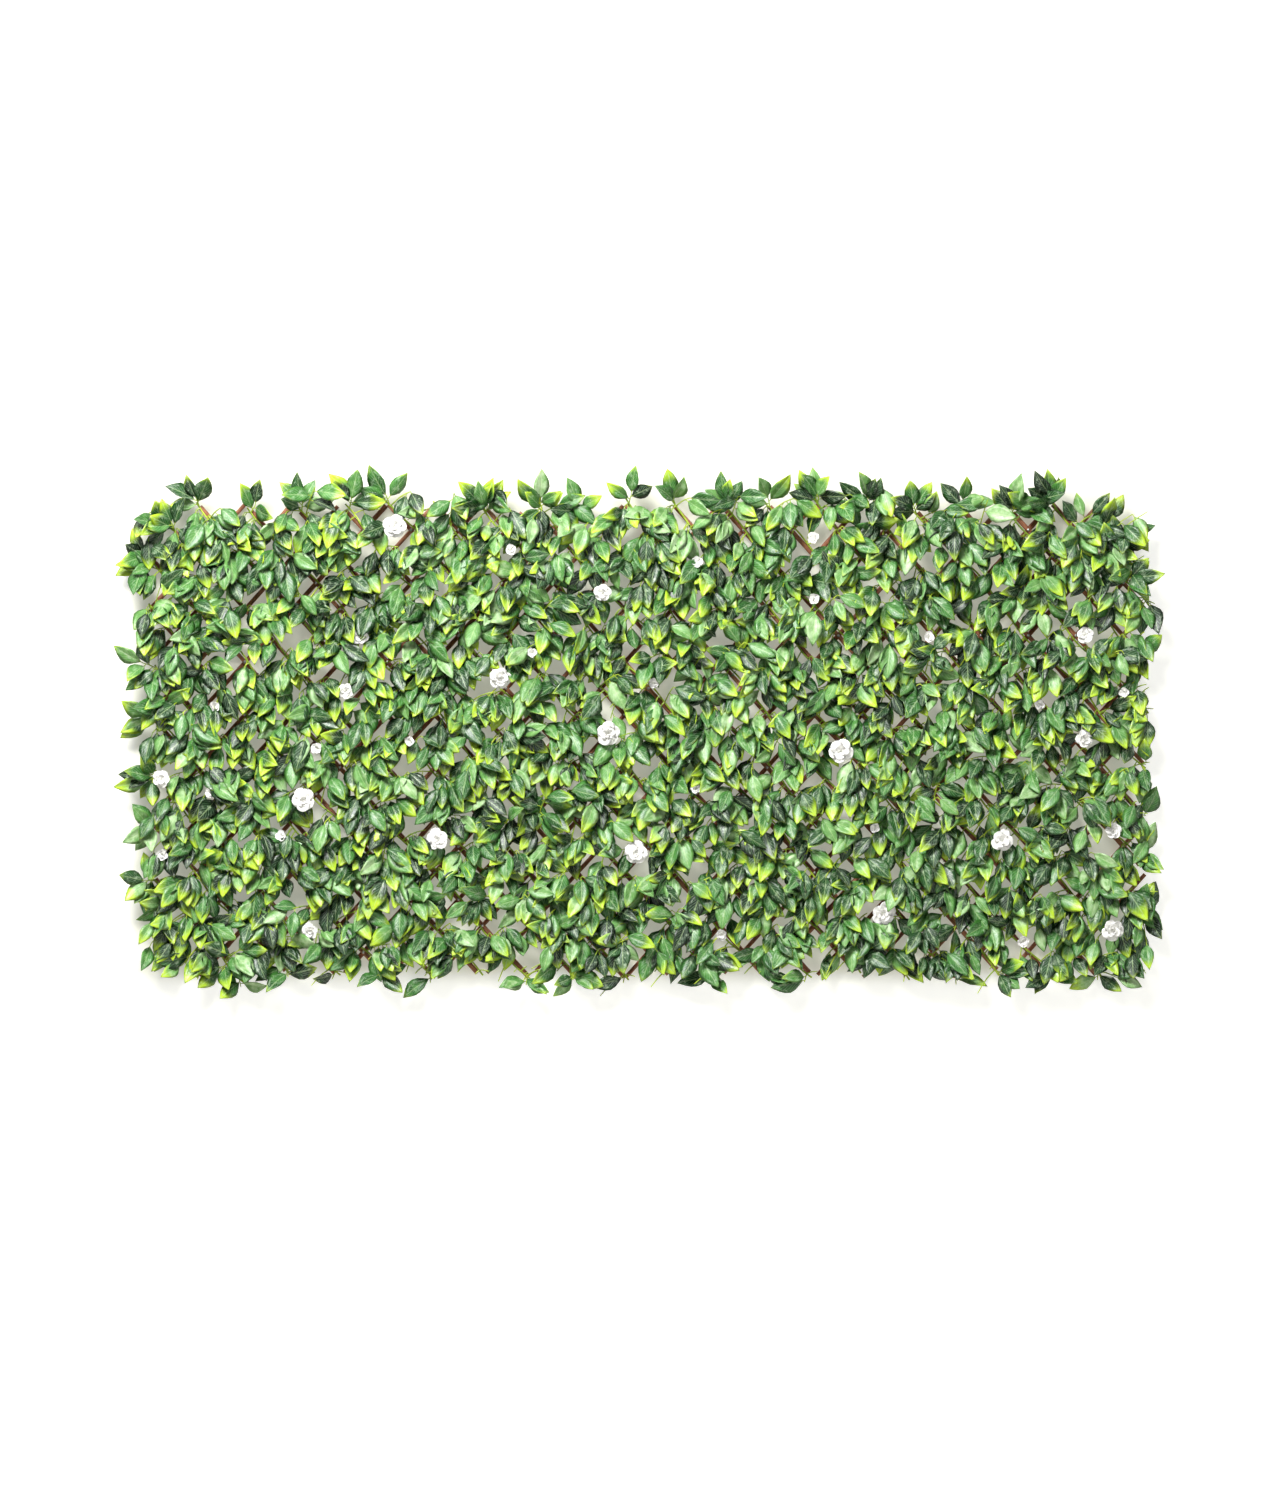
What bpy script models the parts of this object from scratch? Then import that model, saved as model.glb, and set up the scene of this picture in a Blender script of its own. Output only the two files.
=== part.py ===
"""Artificial willow trellis: a folding lattice of willow sticks with vine garlands, 2 m wide when stretched.

Two layers of parallel sticks cross and are nailed together, so the whole lattice works as one scissor.
X runs along the trellis, Z up, and the wall that it hangs on is the plane y = 0. The front faces -Y.
Front sticks fall to the right and back sticks rise to the right. Front stick i and back stick j, both
counted from the middle, cross at PITCH * ((i + j) cos SLOPE, (i - j) sin SLOPE).
"""

import math
import random

import bmesh
import bpy
from mathutils import Matrix, Vector

MM = 0.001

# Lattice
PITCH = 67.5 * MM
SLOPE = math.radians(48)
MOST_ACROSS = 20
MOST_UP = 8
OUTERMOST_STICK = 13
CARRIED_BY_CENTRE = 8
OUTER_CARRIER = 6

# Willow sticks: eight flats, thick at the butt, with a slight swelling at each knot
STICK_SIDES = 8
BUTT_RADIUS = 4.9 * MM
TIP_RADIUS = 3.9 * MM
KNOT_SWELLING = 0.4 * MM
KNOT_SPACING = 290 * MM
KNOT_SCATTER_SHARE = 0.25
FEWEST_KNOTS = 1
STICK_END = 55 * MM
END_SCATTER = 12 * MM
RUNNING_GAP = 0.3 * MM
WELD_SHARE = 0.01

# Nails: one through every pair of sticks that a joint holds, clinched behind the back stick
NAIL_SIDES = 6
NAIL_RADIUS = 0.95 * MM
NAIL_ROOT = 2 * MM
CLINCH_RADIUS = 2.2 * MM
CLINCH_THICKNESS = 1 * MM
CUT_OVERRUN = 2 * MM

# Centre nail, which the trellis hangs on
CENTRE_NAIL_SIDES = 12
CENTRE_NAIL_RADIUS = 1.3 * MM
CENTRE_HEAD_RADIUS = 4.5 * MM
CENTRE_HEAD_THICKNESS = 1.2 * MM

# Vine garlands, tied along the front of every sixth front stick
OUTERMOST_GARLAND = 12
GARLAND_STEP = 6
STEM_SIDES_RESOLUTION = 1
STEM_RADIUS = 1.7 * MM
STEM_WAVE = 2.4 * MM
STEM_POINT_SPACING = 100 * MM
STEM_WAVE_LENGTH = 4 * STEM_POINT_SPACING
STEM_PAST_STICK = 12 * MM
STEM_LIFT = 2 * (RUNNING_GAP + CENTRE_HEAD_THICKNESS)

# Sprays of three leaves that branch off a garland's stem, to one side and the other in turn
SPRAY_SPACING = 88 * MM
TWIG_SIDES = 4
TWIG_LENGTH = 58 * MM
END_TWIG_LENGTH = 24 * MM
TWIG_RADIUS = 1.3 * MM
TWIG_TIP_SHARE = 0.8
TWIG_BRANCHING = math.radians(78)
TWIG_SCATTER = math.radians(24)
TWIG_LEAN = math.radians(17)

# Leaves of the garlands
LEAF_LENGTH = 55 * MM
LEAF_WIDTH = 31 * MM
LEAF_THICKNESS = 2 * MM
LEAF_FOLD_SHARE = 0.22
LEAF_TIP_WIDTH_SHARE = 0.74
LEAF_RIB_SHARE = -0.25
LEAF_LENGTH_SCATTER_SHARE = 0.12
LEAF_SUNK_SHARE = 0.02
LEAF_SPREAD = math.radians(64)
LEAF_HEADINGS = [0, LEAF_SPREAD, -LEAF_SPREAD]
LEAF_SCATTER = math.radians(10)
LEAF_STEP = 9 * MM
LEAF_LEANS = [math.radians(lean) for lean in (28, 16, 40)]
LEAF_ROLL = math.radians(10)
EDGE_ROWS = 1

# Seeds of the scatter in the sticks and the garlands
BACK_SEED = 11
FRONT_SEED = 111
GARLAND_SEED = 11

# Depth of each layer, counted forwards from the wall
FLAT_SHARE = math.cos(math.pi / STICK_SIDES)
MOST_THICKNESS = 2 * (BUTT_RADIUS + KNOT_SWELLING) * FLAT_SHARE
BACK_STICKS_REAR = CLINCH_THICKNESS + RUNNING_GAP
BACK_STICKS_FRONT = BACK_STICKS_REAR + MOST_THICKNESS
FRONT_STICKS_REAR = BACK_STICKS_FRONT + RUNNING_GAP
FRONT_STICKS_FRONT = FRONT_STICKS_REAR + MOST_THICKNESS


def crossing(i, j):
    """Where front stick i crosses back stick j, on the plane of the lattice."""
    return Vector((PITCH * (i + j) * math.cos(SLOPE), 0, PITCH * (i - j) * math.sin(SLOPE)))


def crosses(i, j):
    """True where the lattice has a crossing of front stick i and back stick j."""
    inside = abs(i + j) <= MOST_ACROSS and abs(i - j) <= MOST_UP
    return inside and abs(i) <= OUTERMOST_STICK and abs(j) <= OUTERMOST_STICK


def crossed_by(k):
    """The sticks of the other layer that stick k crosses, the same rule for both layers."""
    return [m for m in range(-OUTERMOST_STICK, OUTERMOST_STICK + 1) if crosses(k, m)]


def carrier_of(k):
    """The stick of the other layer that carries stick k, the middle one or one near the end."""
    if abs(k) <= CARRIED_BY_CENTRE:
        return 0
    return OUTER_CARRIER if k > 0 else -OUTER_CARRIER


def carried_by(k):
    """The sticks of the other layer that stick k carries."""
    return [m for m in crossed_by(k) if m and carrier_of(m) == k]


def collection(name):
    made = bpy.data.collections.new(name)
    bpy.context.scene.collection.children.link(made)
    return made


def material(name, colour, roughness, metallic=0):
    """A Principled material, its colour given as linear red, green and blue."""
    made = bpy.data.materials.new(name)
    made.use_nodes = True
    made.diffuse_color = (*colour, 1)
    shader = made.node_tree.nodes["Principled BSDF"]
    shader.inputs["Base Color"].default_value = (*colour, 1)
    shader.inputs["Roughness"].default_value = roughness
    shader.inputs["Metallic"].default_value = metallic
    return made


def add_object(name, mesh, home, finish):
    made = bpy.data.objects.new(name, mesh)
    home.objects.link(made)
    if finish:
        mesh.materials.clear()
        mesh.materials.append(finish)
    return made


def add_cutter(name, mesh, home):
    made = add_object(name, mesh, home, None)
    made.hide_render = True
    made.display_type = "WIRE"
    return made


def place(obj, i, j, turn):
    """Puts an object's origin on a crossing and turns it about the joint's axis, along Y."""
    obj.location = crossing(i, j)
    obj.rotation_euler = (0, turn, 0)


def boolean(obj, operation, cutter):
    made = obj.modifiers.new(operation.capitalize(), "BOOLEAN")
    made.operation = operation
    made.object = cutter
    made.use_self = operation == "UNION"


def tube(name, points, radii, sides_resolution, tilt):
    """A closed mesh of a tube along points, each with its own radius, from a curve with filled caps."""
    curve = bpy.data.curves.new(name, "CURVE")
    curve.dimensions = "3D"
    curve.twist_mode = "Z_UP"
    curve.bevel_depth = 1
    curve.bevel_resolution = sides_resolution
    curve.use_fill_caps = True
    spline = curve.splines.new("POLY")
    spline.points.add(len(points) - 1)
    for point, place_at, radius in zip(spline.points, points, radii):
        point.co = (*place_at, 1)
        point.radius = radius
        point.tilt = tilt
    guide = bpy.data.objects.new(name, curve)
    bpy.context.scene.collection.objects.link(guide)
    bpy.context.view_layer.update()
    evaluated = guide.evaluated_get(bpy.context.evaluated_depsgraph_get())
    mesh = bpy.data.meshes.new_from_object(evaluated)
    mesh.name = name
    bpy.data.objects.remove(guide)
    bpy.data.curves.remove(curve)
    shape = bmesh.new()
    shape.from_mesh(mesh)
    bmesh.ops.remove_doubles(shape, verts=shape.verts, dist=min(radii) * WELD_SHARE)
    shape.to_mesh(mesh)
    shape.free()
    return mesh


class Stick:
    """One willow stick, measured along its own length from the crossing that carries it."""

    def __init__(self, layer, k):
        self.layer = layer
        self.k = k
        self.carrier = carrier_of(k)
        self.crossed = crossed_by(k)
        chance = random.Random((FRONT_SEED if layer == "front" else BACK_SEED) + k)
        before = STICK_END + END_SCATTER * chance.uniform(-1, 1)
        after = STICK_END + END_SCATTER * chance.uniform(-1, 1)
        self.start = self.along(self.crossed[0]) - before
        self.end = self.along(self.crossed[-1]) + after
        self.butt_first = chance.random() < 0.5
        knots = max(FEWEST_KNOTS, round((self.end - self.start) / KNOT_SPACING) - 1)
        scatter = [KNOT_SCATTER_SHARE * chance.uniform(-1, 1) for _ in range(knots)]
        shares = [(n + 1 + off) / (knots + 1) for n, off in enumerate(scatter)]
        swellings = [KNOT_SWELLING * (1 - n % 2) for n in range(knots)]
        self.rings = [(0, 0), *zip(shares, swellings), (1, 0)]

    def along(self, m):
        """Place along this stick of its crossing with stick m of the other layer."""
        return (m - self.carrier) * PITCH

    def radius(self, place_along):
        """Corner radius of the stick at a place along it, from the straight taper and the swellings."""
        share = (place_along - self.start) / (self.end - self.start)
        taper = share if self.butt_first else 1 - share
        radius = BUTT_RADIUS + (TIP_RADIUS - BUTT_RADIUS) * taper
        for (a, low), (b, high) in zip(self.rings, self.rings[1:]):
            if a <= share <= b:
                return radius + low + (high - low) * (share - a) / (b - a)
        return radius

    def thickness(self, place_along):
        """Depth of the stick there, flat to flat."""
        return 2 * self.radius(place_along) * FLAT_SHARE

    def mesh(self):
        """The stick, with the flat that meets the other layer on one plane from end to end."""
        places = [self.start + share * (self.end - self.start) for share, _ in self.rings]
        radii = [self.radius(p) for p in places]
        if self.layer == "front":
            depths = [FRONT_STICKS_REAR + r * FLAT_SHARE for r in radii]
        else:
            depths = [BACK_STICKS_FRONT - r * FLAT_SHARE for r in radii]
        points = [Vector((p, -d, 0)) for p, d in zip(places, depths)]
        return tube(f"{self.layer}_stick", points, radii, STICK_SIDES // 4, math.pi / STICK_SIDES)


def node_name(layer, k):
    """front_stick_01 is the leftmost, and the middle one is number 14."""
    return f"{layer}_stick_{k + OUTERMOST_STICK + 1:02d}"


def add_rod(shape, radius, near, far, sides, centre):
    """A closed rod along Y between two depths, counted forwards from the wall."""
    turn = Matrix.Rotation(math.pi / 2, 4, "X")
    middle = Matrix.Translation((centre, -(near + far) / 2, 0))
    bmesh.ops.create_cone(
        shape,
        cap_ends=True,
        segments=sides,
        radius1=radius,
        radius2=radius,
        depth=far - near,
        matrix=middle @ turn,
    )


def mesh_of(shape, name):
    mesh = bpy.data.meshes.new(name)
    shape.to_mesh(mesh)
    shape.free()
    return mesh


def nails(stick, partners):
    """The nails fixed in a front stick, each through its back stick and clinched behind it."""
    shape = bmesh.new()
    for m, back in partners:
        centre = stick.along(m)
        rear = BACK_STICKS_FRONT - back.thickness(back.along(stick.k))
        clinch = rear - RUNNING_GAP
        add_rod(shape, CLINCH_RADIUS, clinch - CLINCH_THICKNESS, clinch, NAIL_SIDES, centre)
        root = FRONT_STICKS_REAR + NAIL_ROOT
        add_rod(shape, NAIL_RADIUS, clinch - CLINCH_THICKNESS / 2, root, NAIL_SIDES, centre)
    return mesh_of(shape, "nails")


def nail_holes(stick, carried, radius, sides):
    """Cutters for the holes that nails turn in, right through the stick."""
    shape = bmesh.new()
    for m in carried:
        near = BACK_STICKS_REAR - CUT_OVERRUN
        far = FRONT_STICKS_FRONT + CUT_OVERRUN
        clear = (radius + RUNNING_GAP) / math.cos(math.pi / sides)
        add_rod(shape, clear, near, far, sides, stick.along(m))
    return mesh_of(shape, "nail_holes")


def build_sticks(layer, sticks, others, home, cutters, finish):
    """One layer of sticks, with the nails that it holds or the holes that nails turn in."""
    turn = SLOPE if layer == "front" else -SLOPE
    for k, stick in sticks.items():
        obj = add_object(node_name(layer, k), stick.mesh(), home, finish)
        joined = carried_by(k) + ([stick.carrier] if k else [])
        made = []
        if layer == "front":
            mesh = nails(stick, [(m, others[m]) for m in joined])
            made.append(("UNION", add_cutter(f"nails_of_{obj.name}", mesh, cutters)))
        elif joined:
            mesh = nail_holes(stick, joined, NAIL_RADIUS, NAIL_SIDES)
            made.append(("DIFFERENCE", add_cutter(f"holes_of_{obj.name}", mesh, cutters)))
        if not k:
            mesh = nail_holes(stick, [0], CENTRE_NAIL_RADIUS, CENTRE_NAIL_SIDES)
            made.append(("DIFFERENCE", add_cutter(f"centre_hole_of_{obj.name}", mesh, cutters)))
        at = (k, stick.carrier) if layer == "front" else (stick.carrier, k)
        place(obj, *at, turn)
        for operation, cutter in made:
            place(cutter, *at, turn)
            boolean(obj, operation, cutter)


def build_centre_nail(front, back, home, finish):
    """The nail through the two middle sticks, its clinched end flat against the wall."""
    head_back = FRONT_STICKS_REAR + front.thickness(0) + RUNNING_GAP
    head_front = head_back + CENTRE_HEAD_THICKNESS
    clinch_front = BACK_STICKS_FRONT - back.thickness(0) - RUNNING_GAP
    outline = [
        (0, 0),
        (CENTRE_HEAD_RADIUS, 0),
        (CENTRE_HEAD_RADIUS, clinch_front),
        (CENTRE_NAIL_RADIUS, clinch_front),
        (CENTRE_NAIL_RADIUS, head_back),
        (CENTRE_HEAD_RADIUS, head_back),
        (0, head_front),
    ]
    shape = bmesh.new()
    corners = [shape.verts.new((across, -depth, 0)) for across, depth in outline]
    for a, b in zip(corners, corners[1:]):
        shape.edges.new((a, b))
    obj = add_object("centre_nail", mesh_of(shape, "centre_nail"), home, finish)
    turned = obj.modifiers.new("Turn", "SCREW")
    turned.axis = "Y"
    turned.steps = CENTRE_NAIL_SIDES
    turned.render_steps = CENTRE_NAIL_SIDES
    turned.use_merge_vertices = True
    turned.merge_threshold = CENTRE_NAIL_RADIUS * WELD_SHARE


def pointing(heading, lean):
    """Direction with that heading on the lattice's plane, measured on the stick, leaning forwards."""
    flat = math.cos(lean)
    return Vector((flat * math.cos(heading), -math.sin(lean), flat * math.sin(heading)))


def add_leaf(shape, base, heading, lean, roll, length):
    """A folded leaf from base: six corners round it, widest near its stalk, and a rib on each side."""
    made = bmesh.ops.create_uvsphere(shape, u_segments=6, v_segments=2, radius=1)["verts"]
    for v in made:
        across, along, height = v.co
        rib = abs(height) > abs(across) + abs(along)
        narrow = LEAF_TIP_WIDTH_SHARE if along > 0 else 1
        from_base = 1 - LEAF_SUNK_SHARE + (LEAF_RIB_SHARE if rib else along)
        v.co.x = from_base * length / 2
        v.co.y = -across * narrow * LEAF_WIDTH / 2
        v.co.z = height * LEAF_THICKNESS / 2 + abs(across) * LEAF_FOLD_SHARE * LEAF_WIDTH / 2
    face_front = Matrix.Rotation(math.pi / 2, 4, "X")
    rolled = Matrix.Rotation(roll, 4, "X")
    leaned = Matrix.Rotation(-lean, 4, "Z")
    headed = Matrix.Rotation(-heading, 4, "Y")
    at = Matrix.Translation(base)
    bmesh.ops.transform(shape, matrix=at @ headed @ leaned @ rolled @ face_front, verts=made)


def add_twig(shape, base, way, length):
    """A tapered twig from base."""
    middle = Matrix.Translation(base + way * length / 2)
    bmesh.ops.create_cone(
        shape,
        cap_ends=True,
        segments=TWIG_SIDES,
        radius1=TWIG_RADIUS,
        radius2=TWIG_RADIUS * TWIG_TIP_SHARE,
        depth=length,
        matrix=middle @ way.to_track_quat("Z", "Y").to_matrix().to_4x4(),
    )


class Garland:
    """One vine garland along a front stick: a wavy stem with sprays of leaves at its sides and ends."""

    def __init__(self, stick):
        self.stick = stick
        self.chance = random.Random(GARLAND_SEED + stick.k)
        self.start = stick.start - STEM_PAST_STICK
        self.end = stick.end + STEM_PAST_STICK

    def stem_at(self, place_along):
        """Point of the stem's centre line, which waves across the stick and stands off it over the nail."""
        turn = 2 * math.pi * place_along / STEM_WAVE_LENGTH
        lift = STEM_LIFT * (1 + math.cos(turn)) / 2
        near = [place_along + STEM_POINT_SPACING * half / 2 for half in (-1, 0, 1)]
        front_of_stick = FRONT_STICKS_REAR + max(self.stick.thickness(p) for p in near)
        depth = front_of_stick + RUNNING_GAP + STEM_RADIUS + lift
        return Vector((place_along, -depth, STEM_WAVE * math.sin(turn + self.stick.k)))

    def stem(self):
        first = math.ceil(self.start / STEM_POINT_SPACING + 1 / 2)
        last = math.floor(self.end / STEM_POINT_SPACING - 1 / 2)
        inner = [n * STEM_POINT_SPACING for n in range(first, last + 1)]
        places = [self.start, *inner, self.end]
        radii = [STEM_RADIUS] * len(places)
        return tube("stem", [self.stem_at(p) for p in places], radii, STEM_SIDES_RESOLUTION, 0)

    def scatter(self, most):
        return most * self.chance.uniform(-1, 1)

    def add_spray(self, shape, base, heading, length):
        """A twig with a leaf at its tip and one behind it on either side, each a step further back."""
        way = pointing(heading, TWIG_LEAN)
        add_twig(shape, base, way, length)
        for n, (lean, turned) in enumerate(zip(LEAF_LEANS, LEAF_HEADINGS)):
            at = base + way * (length - TWIG_RADIUS - n * LEAF_STEP)
            away = turned + self.scatter(LEAF_SCATTER)
            long = LEAF_LENGTH * (1 + self.scatter(LEAF_LENGTH_SCATTER_SHARE))
            add_leaf(shape, at, heading + away, lean, self.scatter(LEAF_ROLL), long)

    def leaves(self):
        """Side sprays in turn, a leaf hanging between each two of them, and a spray at either end."""
        shape = bmesh.new()
        count = round((self.end - self.start) / SPRAY_SPACING)
        down = SLOPE - math.pi / 2
        for n in range(1, count):
            share = n / count
            base = self.stem_at(self.start + (self.end - self.start) * share)
            side = 1 if n % 2 else -1
            heading = side * TWIG_BRANCHING + self.scatter(TWIG_SCATTER)
            self.add_spray(shape, base, heading, TWIG_LENGTH)
            between = self.stem_at(self.start + (self.end - self.start) * (share - 1 / 2 / count))
            add_leaf(shape, between, down + self.scatter(LEAF_SPREAD), LEAF_LEANS[-1], 0, LEAF_LENGTH)
        for m, place_along in ((0, self.start), (-1, self.end)):
            outwards = self.outwards(self.stick.crossed[m])
            inside = self.stem_at(place_along + math.copysign(STEM_RADIUS, -place_along))
            self.add_spray(shape, inside, outwards, END_TWIG_LENGTH)
        return mesh_of(shape, "leaves")

    def outwards(self, m):
        """Heading of an end spray: up at the top edge, down at the bottom and level at the sides."""
        i = self.stick.k
        if abs(i - m) >= MOST_UP - EDGE_ROWS:
            return SLOPE + math.copysign(math.pi / 2, i - m)
        return SLOPE + (math.pi if i + m < 0 else 0)


def build_garlands(sticks, home, cutters, finish):
    for number, k in enumerate(range(-OUTERMOST_GARLAND, OUTERMOST_GARLAND + 1, GARLAND_STEP)):
        garland = Garland(sticks[k])
        obj = add_object(f"garland_{number + 1}", garland.stem(), home, finish)
        leaves = add_cutter(f"leaves_of_{obj.name}", garland.leaves(), cutters)
        for piece in (obj, leaves):
            place(piece, k, garland.stick.carrier, SLOPE)
        boolean(obj, "UNION", leaves)


def main():
    for obj in list(bpy.data.objects):
        bpy.data.objects.remove(obj)
    home = collection("artificial_willow_trellis")
    cutters = collection("cutters")
    bark = material("willow_bark", (0.12, 0.055, 0.035), 0.75)
    plastic = material("vine_plastic", (0.05, 0.2, 0.07), 0.45)
    steel = material("nail_steel", (0.45, 0.45, 0.44), 0.4, 1)

    every = range(-OUTERMOST_STICK, OUTERMOST_STICK + 1)
    front = {k: Stick("front", k) for k in every}
    back = {k: Stick("back", k) for k in every}
    build_centre_nail(front[0], back[0], home, steel)
    build_sticks("front", front, back, home, cutters, bark)
    build_sticks("back", back, front, home, cutters, bark)
    build_garlands(front, home, cutters, plastic)


main()
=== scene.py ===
"""Artificial willow trellis, dressed: willow rods, nails, vines of printed leaves, rosettes and wire ties.

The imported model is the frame. X runs along the trellis, Z up, the wall is the plane y = 0 and the front
faces -Y, so a depth counted forwards from the wall is minus y. Front rods fall to the right and back rods
rise to the right. Every vine lies along one front rod, moves with it and is crushed when the lattice folds.
"""

import math
import random
from functools import partial

import bmesh
import bpy
from mathutils import Matrix, Vector, kdtree


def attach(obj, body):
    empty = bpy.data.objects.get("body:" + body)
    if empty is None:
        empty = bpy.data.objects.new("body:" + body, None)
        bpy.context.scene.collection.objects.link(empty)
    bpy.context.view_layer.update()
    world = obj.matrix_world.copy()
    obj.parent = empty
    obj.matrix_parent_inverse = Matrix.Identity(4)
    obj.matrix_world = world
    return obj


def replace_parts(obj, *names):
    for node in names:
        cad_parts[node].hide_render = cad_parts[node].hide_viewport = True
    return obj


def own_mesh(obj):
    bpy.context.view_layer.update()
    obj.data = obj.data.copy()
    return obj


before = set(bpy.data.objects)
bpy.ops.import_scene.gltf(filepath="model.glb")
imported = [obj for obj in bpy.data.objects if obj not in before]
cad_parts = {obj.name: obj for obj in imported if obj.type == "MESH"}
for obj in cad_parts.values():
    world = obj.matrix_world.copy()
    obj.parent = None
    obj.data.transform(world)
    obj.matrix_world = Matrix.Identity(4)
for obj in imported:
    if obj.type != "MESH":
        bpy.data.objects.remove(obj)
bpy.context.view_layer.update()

MM = 0.001

# The lattice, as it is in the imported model
PITCH = 67.5 * MM
SLOPE = math.radians(48)
MOST_ACROSS = 20
MOST_UP = 8
OUTERMOST = 13
STICKS = range(-OUTERMOST, OUTERMOST + 1)
WAY = {
    "front": Vector((math.cos(SLOPE), 0, -math.sin(SLOPE))),
    "back": Vector((math.cos(SLOPE), 0, math.sin(SLOPE))),
}
ACROSS = Vector((math.sin(SLOPE), 0, math.cos(SLOPE)))
GARLANDS = {2: "garland_1", 8: "garland_2", 14: "garland_3", 20: "garland_4", 26: "garland_5"}

# Directions on the lattice's plane, counted from +X towards +Z
RIGHT, UP, LEFT, DOWN = 0, math.pi / 2, math.pi, -math.pi / 2

# Willow rods
ROD_SIDES = 12
ROD_STEP = 8 * MM
ROD_SHRINK = 0.3 * MM
ROD_BREADTH = 1.14
ROD_BOW = 0.9 * MM
KNOT_HEIGHT = 0.45 * MM
KNOT_SPACING = 52 * MM
KNOT_WIDTH = 5 * MM
BARK_RELIEF = 0.22 * MM
END_REACH = 0.5 * MM

# Nails through every crossing: a domed head in front and a tail bent flat behind
NAIL_HEAD = 3 * MM
NAIL_HEAD_SIDES = 8
NAIL_HEAD_RINGS = [(1, 0), (1, -0.22), (0.72, -0.46), (0.3, -0.58)]
NAIL_WIRE = 1 * MM
NAIL_WIRE_SIDES = 6
NAIL_REACH = 19 * MM
NAIL_TAIL = 5.5 * MM

# Vine stems, tied along the front rods
STEM_RADIUS = 1.9 * MM
STEM_STEP = 22 * MM
STEM_SWING = 9.5 * MM
STEM_SWING_LENGTH = 310 * MM
STEM_SWING_CHANGE = 0.25
STEM_RISE = 1.6 * MM
STEM_PAST = 10 * MM
STEM_END = 12 * MM
THREAD_STEP = 9 * MM
THREAD_SIDES = 6

# Wire ties: a loop round rod and stem, and its twisted ends
TIE_WIRE = 0.6 * MM
TIE_SIDES = 5
TIE_HALF_DEPTH = 7.6 * MM
TIE_HALF_WIDTH = 6.2 * MM
TIE_SPARE = 5.2 * MM
TIE_POINTS = 11
TIE_SLANT = 1.2 * MM
TIE_TWISTS = 5

# Sprays of leaves that branch off the stems
SPRAY_SPACING = 41 * MM
SPRAY_SCATTER = 9 * MM
SPRAY_TURN = 40
SPRAY_FALL = (0.6, 2.2)
TWIG_LENGTH = (26 * MM, 62 * MM)
TWIG_RISE = (4 * MM, 34 * MM)
TWIG_RADIUS = 1.25 * MM
TWIG_TIP = 0.9 * MM
LEAFED_SHARE = 0.84
STALK_RADIUS = 0.85 * MM
STALK_LENGTH = (3 * MM, 8 * MM)
LEAVES_TO_A_SPRAY = (3, 4, 4, 5, 5)
LEAF_LENGTH = 57 * MM
LEAF_WIDTH = 32 * MM
LEAF_SIZE = (0.88, 1.08)
LEAF_SCATTER = 0.13
LEAF_ASIDE = (35, 72)
LEAF_TURN = 20
LEAF_LEAN = (-4, 46)
LEAF_ROLL = 32
LEAF_ROLL_AT_LIMIT = 20
DEEPEST_LEAF = 71 * MM

# Sprays at the edges of the foliage
EDGE_TURN = 0.4
EDGE_REACH = 16 * MM
EDGE_RISE = (2, 20)
EDGE_LEAVES = (3, 4, 4, 5)

# Places left open by the sprays get small ones of their own, apart from a share of them
FIELD_WIDTH = 1900 * MM
FIELD_HEIGHT = 880 * MM
GAP_SPACING = 25 * MM
GAP_SCATTER = 8
GAP_REACH = 8 * MM
GAP_LEAVES = 2
GAP_FALL = 1.4
GAP_MEMORY = 200
OPEN_RADIUS = 18 * MM
LEFT_OPEN = 0.1

# The photograph: millimetres to a pixel, its size, and the pixel of the middle crossing
PHOTO_SCALE = 1.9 * MM
PHOTO_SIZE = (1273, 1490)
PHOTO_MIDDLE = (648.5, 741)

# Left, right, top and bottom edges of the foliage in pixels: for most leaves, and for the edge sprays
FIELD_EDGES = (134, 1150, 492, 984)
FARTHEST_EDGES = (108, 1162, 464, 999)

# Pixels where the foliage ends, by direction: sprays that stand up, reach out or hang past the lattice
EDGE_TIPS = {}
EDGE_TIPS[UP] = [
    (268, 485), (303, 490), (347, 482), (400, 492), (468, 480), (505, 498), (545, 485), (570, 492),
    (628, 484), (665, 500), (716, 480), (765, 478), (805, 470), (825, 480), (860, 492), (905, 492),
    (966, 482), (997, 492), (1028, 482), (1048, 482), (1113, 495), (1130, 503), (205, 498), (165, 500),
    (132, 512), (1148, 522),
]
EDGE_TIPS[LEFT] = [
    (120, 547), (140, 585), (116, 650), (145, 700), (122, 770), (130, 790), (128, 822), (150, 880),
    (140, 925), (146, 965), (160, 985),
]
EDGE_TIPS[RIGHT] = [
    (1146, 560), (1157, 615), (1146, 660), (1150, 735), (1154, 780), (1158, 818), (1148, 845),
    (1146, 900), (1152, 940), (1150, 975),
]
EDGE_TIPS[DOWN] = [
    (203, 985), (245, 978), (300, 985), (352, 992), (380, 990), (445, 984), (510, 990), (535, 995),
    (590, 984), (643, 990), (700, 984), (763, 988), (820, 984), (888, 988), (950, 984), (1022, 985),
    (1063, 988), (1110, 982), (1143, 985),
]

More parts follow.
